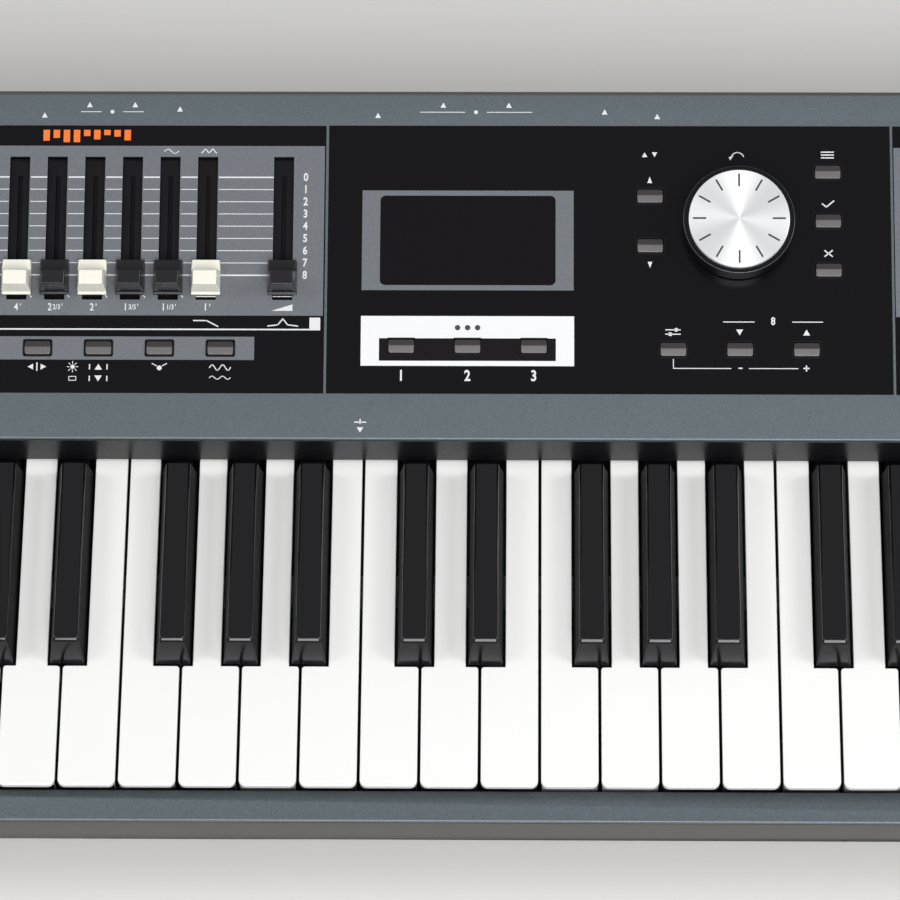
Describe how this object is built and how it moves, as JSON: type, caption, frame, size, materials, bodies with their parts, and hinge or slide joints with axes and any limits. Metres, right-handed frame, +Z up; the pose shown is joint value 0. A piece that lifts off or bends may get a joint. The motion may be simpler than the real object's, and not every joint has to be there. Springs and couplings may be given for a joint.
{
  "type": "combo organ",
  "caption": "Portable combo organ: a sloping control panel with drawbars, a display, a value dial and buttons over a velocity keyboard in a slim plastic case.",
  "frame": {"origin": "floor level under the middle of the case", "axes": "+X along the keys to the treble end, +Y to the rear edge with the sockets, +Z up"},
  "size_m": [1.008, 0.3, 0.1045],
  "materials": {
    "case_plastic": "metallic grey-blue paint on moulded plastic",
    "base_plastic": "fine-grained moulded plastic",
    "screw_steel": "zinc-plated steel",
    "foot_rubber": "matte black rubber",
    "white_key_plastic": "polished white key plastic",
    "black_key_plastic": "satin black key plastic",
    "chassis_plastic": "moulded plastic",
    "rod_steel": "ground steel",
    "circuit_board": "green solder mask",
    "contact_rubber": "grey silicone",
    "felt": "wool felt",
    "panel_plastic": "black gloss panel",
    "window_plastic": "smoked window, black while the display is off",
    "display_plastic": "display module",
    "bar_brown": "brown bar cap",
    "bar_white": "white bar cap",
    "bar_black": "black bar cap",
    "pot_plastic": "moulded control housing",
    "dial_plastic": "black dial with a spun aluminium face",
    "knob_plastic": "satin black knob",
    "button_plastic": "smoky grey button",
    "switch_plastic": "moulded switch housing",
    "bender_plastic": "satin black plastic",
    "socket_plastic": "moulded socket"
  },
  "bodies": {
    "case": {"bender_bracket": "bender_plastic", "bottom_case": "base_plastic", "case_screws": "screw_steel", "center_control_panel": "panel_plastic", "dc_inlet": "socket_plastic", "din_sockets": "socket_plastic", "display_module": "display_plastic", "display_window": "window_plastic", "key_contact_board": "circuit_board", "key_contact_rubbers": "contact_rubber", "key_hinge_rod": "rod_steel", "key_stop_felts": "felt", "keybed_chassis": "chassis_plastic", "left_control_panel": "panel_plastic", "main_board": "circuit_board", "panel_boards": "circuit_board", "phone_jacks": "socket_plastic", "power_switch_housing": "switch_plastic", "right_control_panel": "panel_plastic", "rotary_sensors": "pot_plastic", "rubber_feet": "foot_rubber", "slide_potentiometers": "pot_plastic", "tact_switches": "switch_plastic", "top_case": "case_plastic"},
    "key_c4": {"key_c4": "white_key_plastic"},
    "key_d4": {"key_d4": "white_key_plastic"},
    "key_e4": {"key_e4": "white_key_plastic"},
    "key_f4": {"key_f4": "white_key_plastic"},
    "key_g4": {"key_g4": "white_key_plastic"},
    "key_a4": {"key_a4": "white_key_plastic"},
    "key_b4": {"key_b4": "white_key_plastic"},
    "key_c_sharp4": {"key_c_sharp4": "black_key_plastic"},
    "key_d_sharp4": {"key_d_sharp4": "black_key_plastic"},
    "key_f_sharp4": {"key_f_sharp4": "black_key_plastic"},
    "key_g_sharp4": {"key_g_sharp4": "black_key_plastic"},
    "key_a_sharp4": {"key_a_sharp4": "black_key_plastic"},
    "other_white_keys": {"other_white_keys": "white_key_plastic"},
    "other_black_keys": {"other_black_keys": "black_key_plastic"},
    "harmonic_bar_1": {"harmonic_bar_1": "bar_brown"},
    "harmonic_bar_2": {"harmonic_bar_2": "bar_brown"},
    "harmonic_bar_3": {"harmonic_bar_3": "bar_white"},
    "harmonic_bar_4": {"harmonic_bar_4": "bar_white"},
    "harmonic_bar_5": {"harmonic_bar_5": "bar_black"},
    "harmonic_bar_6": {"harmonic_bar_6": "bar_white"},
    "harmonic_bar_7": {"harmonic_bar_7": "bar_black"},
    "harmonic_bar_8": {"harmonic_bar_8": "bar_black"},
    "harmonic_bar_9": {"harmonic_bar_9": "bar_white"},
    "level_slider": {"level_slider": "bar_black"},
    "value_dial": {"value_dial": "dial_plastic"},
    "volume_knob": {"volume_knob": "knob_plastic"},
    "drive_knob": {"drive_knob": "knob_plastic"},
    "reverb_knob": {"reverb_knob": "knob_plastic"},
    "organ_buttons": {"organ_buttons": "button_plastic"},
    "mode_buttons": {"mode_buttons": "button_plastic"},
    "edit_buttons": {"edit_buttons": "button_plastic"},
    "octave_buttons": {"octave_buttons": "button_plastic"},
    "preset_buttons": {"preset_buttons": "button_plastic"},
    "bender_cradle": {"bender_cradle": "bender_plastic"},
    "bender_lever": {"bender_lever": "bender_plastic"},
    "power_rocker": {"power_rocker": "switch_plastic"}
  },
  "joints": [
    {"name": "key_c4_press", "type": "hinge", "parent": "case", "child": "key_c4", "pos_m": [-0.04825, 0.075, 0.046], "axis": [1, 0, 0], "range_deg": [0, 2.7], "stiffness_Nm_per_rad": 0.5, "springref_deg": -8.59},
    {"name": "key_d4_press", "type": "hinge", "parent": "case", "child": "key_d4", "pos_m": [-0.02475, 0.075, 0.046], "axis": [1, 0, 0], "range_deg": [0, 2.7], "stiffness_Nm_per_rad": 0.5, "springref_deg": -8.59},
    {"name": "key_e4_press", "type": "hinge", "parent": "case", "child": "key_e4", "pos_m": [-0.00125, 0.075, 0.046], "axis": [1, 0, 0], "range_deg": [0, 2.7], "stiffness_Nm_per_rad": 0.5, "springref_deg": -8.59},
    {"name": "key_f4_press", "type": "hinge", "parent": "case", "child": "key_f4", "pos_m": [0.02225, 0.075, 0.046], "axis": [1, 0, 0], "range_deg": [0, 2.7], "stiffness_Nm_per_rad": 0.5, "springref_deg": -8.59},
    {"name": "key_g4_press", "type": "hinge", "parent": "case", "child": "key_g4", "pos_m": [0.04575, 0.075, 0.046], "axis": [1, 0, 0], "range_deg": [0, 2.7], "stiffness_Nm_per_rad": 0.5, "springref_deg": -8.59},
    {"name": "key_a4_press", "type": "hinge", "parent": "case", "child": "key_a4", "pos_m": [0.06925, 0.075, 0.046], "axis": [1, 0, 0], "range_deg": [0, 2.7], "stiffness_Nm_per_rad": 0.5, "springref_deg": -8.59},
    {"name": "key_b4_press", "type": "hinge", "parent": "case", "child": "key_b4", "pos_m": [0.09275, 0.075, 0.046], "axis": [1, 0, 0], "range_deg": [0, 2.7], "stiffness_Nm_per_rad": 0.5, "springref_deg": -8.59},
    {"name": "key_c_sharp4_press", "type": "hinge", "parent": "case", "child": "key_c_sharp4", "pos_m": [-0.03875, 0.075, 0.046], "axis": [1, 0, 0], "range_deg": [0, 2.7], "stiffness_Nm_per_rad": 0.5, "springref_deg": -8.59},
    {"name": "key_d_sharp4_press", "type": "hinge", "parent": "case", "child": "key_d_sharp4", "pos_m": [-0.01075, 0.075, 0.046], "axis": [1, 0, 0], "range_deg": [0, 2.7], "stiffness_Nm_per_rad": 0.5, "springref_deg": -8.59},
    {"name": "key_f_sharp4_press", "type": "hinge", "parent": "case", "child": "key_f_sharp4", "pos_m": [0.0309, 0.075, 0.046], "axis": [1, 0, 0], "range_deg": [0, 2.7], "stiffness_Nm_per_rad": 0.5, "springref_deg": -8.59},
    {"name": "key_g_sharp4_press", "type": "hinge", "parent": "case", "child": "key_g_sharp4", "pos_m": [0.05755, 0.075, 0.046], "axis": [1, 0, 0], "range_deg": [0, 2.7], "stiffness_Nm_per_rad": 0.5, "springref_deg": -8.59},
    {"name": "key_a_sharp4_press", "type": "hinge", "parent": "case", "child": "key_a_sharp4", "pos_m": [0.0843, 0.075, 0.046], "axis": [1, 0, 0], "range_deg": [0, 2.7], "stiffness_Nm_per_rad": 0.5, "springref_deg": -8.59},
    {"name": "other_white_keys_press", "type": "hinge", "parent": "case", "child": "other_white_keys", "pos_m": [0.034, 0.075, 0.046], "axis": [1, 0, 0], "range_deg": [0, 2.7], "stiffness_Nm_per_rad": 14.5, "springref_deg": -8.59},
    {"name": "other_black_keys_press", "type": "hinge", "parent": "case", "child": "other_black_keys", "pos_m": [0.034, 0.075, 0.046], "axis": [1, 0, 0], "range_deg": [0, 2.7], "stiffness_Nm_per_rad": 10, "springref_deg": -8.59},
    {"name": "harmonic_bar_1_slide", "type": "slide", "parent": "case", "child": "harmonic_bar_1", "axis": [0, 0.9787, 0.2055], "range_m": [0, 0.041]},
    {"name": "harmonic_bar_2_slide", "type": "slide", "parent": "case", "child": "harmonic_bar_2", "axis": [0, 0.9787, 0.2055], "range_m": [0, 0.041]},
    {"name": "harmonic_bar_3_slide", "type": "slide", "parent": "case", "child": "harmonic_bar_3", "axis": [0, 0.9787, 0.2055], "range_m": [0, 0.041]},
    {"name": "harmonic_bar_4_slide", "type": "slide", "parent": "case", "child": "harmonic_bar_4", "axis": [0, 0.9787, 0.2055], "range_m": [0, 0.041]},
    {"name": "harmonic_bar_5_slide", "type": "slide", "parent": "case", "child": "harmonic_bar_5", "axis": [0, 0.9787, 0.2055], "range_m": [0, 0.041]},
    {"name": "harmonic_bar_6_slide", "type": "slide", "parent": "case", "child": "harmonic_bar_6", "axis": [0, 0.9787, 0.2055], "range_m": [0, 0.041]},
    {"name": "harmonic_bar_7_slide", "type": "slide", "parent": "case", "child": "harmonic_bar_7", "axis": [0, 0.9787, 0.2055], "range_m": [0, 0.041]},
    {"name": "harmonic_bar_8_slide", "type": "slide", "parent": "case", "child": "harmonic_bar_8", "axis": [0, 0.9787, 0.2055], "range_m": [0, 0.041]},
    {"name": "harmonic_bar_9_slide", "type": "slide", "parent": "case", "child": "harmonic_bar_9", "axis": [0, 0.9787, 0.2055], "range_m": [0, 0.041]},
    {"name": "level_slider_slide", "type": "slide", "parent": "case", "child": "level_slider", "axis": [0, 0.9787, 0.2055], "range_m": [0, 0.041]},
    {"name": "value_dial_turn", "type": "hinge", "parent": "case", "child": "value_dial", "pos_m": [0.0898, 0.09312, 0.08833], "axis": [0, -0.2055, 0.9787], "continuous": true},
    {"name": "volume_knob_turn", "type": "hinge", "parent": "case", "child": "volume_knob", "pos_m": [-0.43, 0.09312, 0.08833], "axis": [0, 0.2055, -0.9787], "range_deg": [-150, 150]},
    {"name": "drive_knob_turn", "type": "hinge", "parent": "case", "child": "drive_knob", "pos_m": [0.215, 0.09312, 0.08833], "axis": [0, 0.2055, -0.9787], "range_deg": [-150, 150]},
    {"name": "reverb_knob_turn", "type": "hinge", "parent": "case", "child": "reverb_knob", "pos_m": [0.275, 0.09312, 0.08833], "axis": [0, 0.2055, -0.9787], "range_deg": [-150, 150]},
    {"name": "organ_buttons_press", "type": "slide", "parent": "case", "child": "organ_buttons", "axis": [0, 0.2055, -0.9787], "range_m": [0, 0.0005], "stiffness_N_per_m": 1500, "springref_m": -0.0003},
    {"name": "mode_buttons_press", "type": "slide", "parent": "case", "child": "mode_buttons", "axis": [0, 0.2055, -0.9787], "range_m": [0, 0.0005], "stiffness_N_per_m": 1500, "springref_m": -0.0003},
    {"name": "edit_buttons_press", "type": "slide", "parent": "case", "child": "edit_buttons", "axis": [0, 0.2055, -0.9787], "range_m": [0, 0.0005], "stiffness_N_per_m": 1500, "springref_m": -0.0003},
    {"name": "octave_buttons_press", "type": "slide", "parent": "case", "child": "octave_buttons", "axis": [0, 0.2055, -0.9787], "range_m": [0, 0.0005], "stiffness_N_per_m": 1500, "springref_m": -0.0003},
    {"name": "preset_buttons_press", "type": "slide", "parent": "case", "child": "preset_buttons", "axis": [0, 0.2055, -0.9787], "range_m": [0, 0.0005], "stiffness_N_per_m": 1500, "springref_m": -0.0003},
    {"name": "bender_push", "type": "hinge", "parent": "case", "child": "bender_cradle", "pos_m": [-0.45, -0.04, 0.036], "axis": [-1, 0, 0], "range_deg": [0, 20], "stiffness_Nm_per_rad": 0.3, "springref_deg": -8.59},
    {"name": "bender_swing", "type": "hinge", "parent": "bender_cradle", "child": "bender_lever", "pos_m": [-0.45, -0.04, 0.036], "axis": [0, 1, 0], "range_deg": [-22, 22], "stiffness_Nm_per_rad": 0.3},
    {"name": "power_rocker_tip", "type": "hinge", "parent": "case", "child": "power_rocker", "pos_m": [0.43, 0.1439, 0.0436], "axis": [1, 0, 0], "range_deg": [0, 12]}
  ]
}
